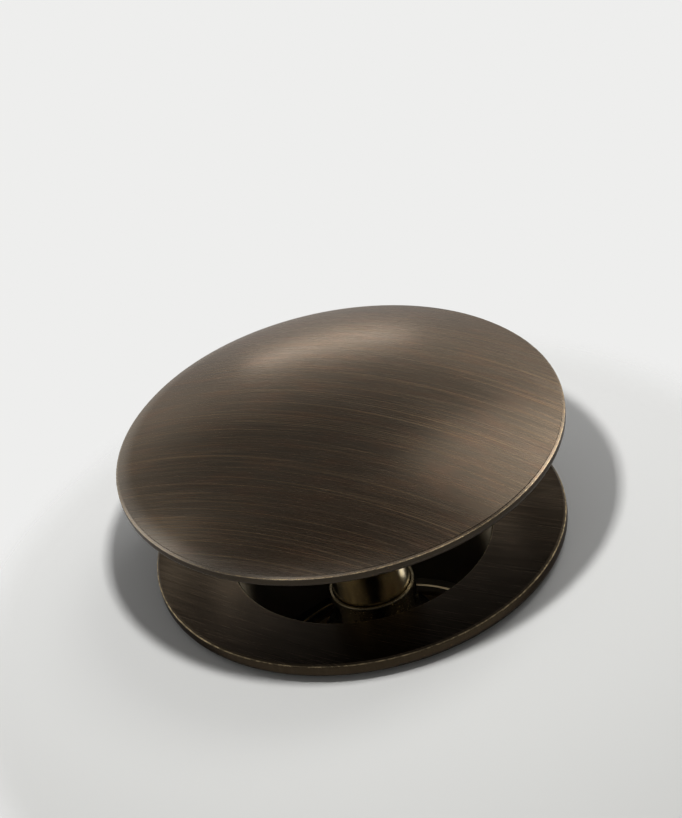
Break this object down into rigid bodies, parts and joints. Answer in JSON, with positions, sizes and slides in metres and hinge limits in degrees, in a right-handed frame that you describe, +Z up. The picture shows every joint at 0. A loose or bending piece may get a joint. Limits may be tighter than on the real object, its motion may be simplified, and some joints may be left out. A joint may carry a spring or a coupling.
{
  "type": "pop up basin waste",
  "caption": "Pop-up basin waste with a domed press cap on a sprung plunger over a dished flange, a threaded body with overflow slots, a back nut with washers and a plain outlet pipe.",
  "frame": {"origin": "on the axis of the waste, on the basin surface that the flange gasket seals against", "axes": "+Z up along the axis, out of the basin; the overflow slots face +X and -X; +X to the right of the picture's camera"},
  "size_m": [0.0698, 0.0698, 0.108],
  "materials": {
    "brushed_bronze": "antique brushed bronze",
    "brass": "polished",
    "rubber": "matt black",
    "acetal": "off-white, satin",
    "black_acetal": "black, satin",
    "spring_steel": "drawn stainless wire and strip"
  },
  "bodies": {
    "waste": {"flange_body": "brushed_bronze", "flange_gasket": "rubber", "spider": "brass", "snap_ring": "spring_steel", "hub_washer": "rubber", "cartridge_sleeve": "brass", "jam_nut": "brass", "bumper_ring": "rubber", "guide_ring": "acetal", "return_spring": "spring_steel", "base_plug": "brass", "tail_washer": "rubber", "tailpiece": "brushed_bronze"},
    "plunger": {"cap": "brushed_bronze", "cap_boss": "brass", "seal_plate": "black_acetal", "cap_seal": "rubber", "stem_washer": "rubber", "plunger": "brass", "stop_ring": "spring_steel"},
    "rotor": {"ratchet_rotor": "acetal"},
    "washers": {"sealing_washer": "rubber", "slip_washer": "acetal"},
    "nut": {"back_nut": "brushed_bronze"}
  },
  "joints": [
    {"name": "cap_press", "type": "slide", "parent": "waste", "child": "plunger", "axis": [0, 0, 1], "range_m": [-0.013, 0], "stiffness_N_per_m": 400, "springref_m": 0.015, "deforming": ["return_spring"]},
    {"name": "rotor_index", "type": "hinge", "parent": "plunger", "child": "rotor", "pos_m": [0, 0, -0.0285], "axis": [0, 0, 1], "range_deg": [0, 30.1]},
    {"name": "nut_turn", "type": "hinge", "parent": "washers", "child": "nut", "pos_m": [0, 0, -0.029], "axis": [0, 0, 1], "range_deg": [-1440, 1440]},
    {"name": "washer_slide", "type": "slide", "parent": "waste", "child": "washers", "axis": [0, 0, 1], "range_m": [-0.00926, 0.00926]}
  ],
  "couplings": [
    {"joint": "rotor_index", "follows": "cap_press", "rad_per_m": -40.27},
    {"joint": "washer_slide", "follows": "nut_turn", "m_per_rad": 0.00036749}
  ]
}
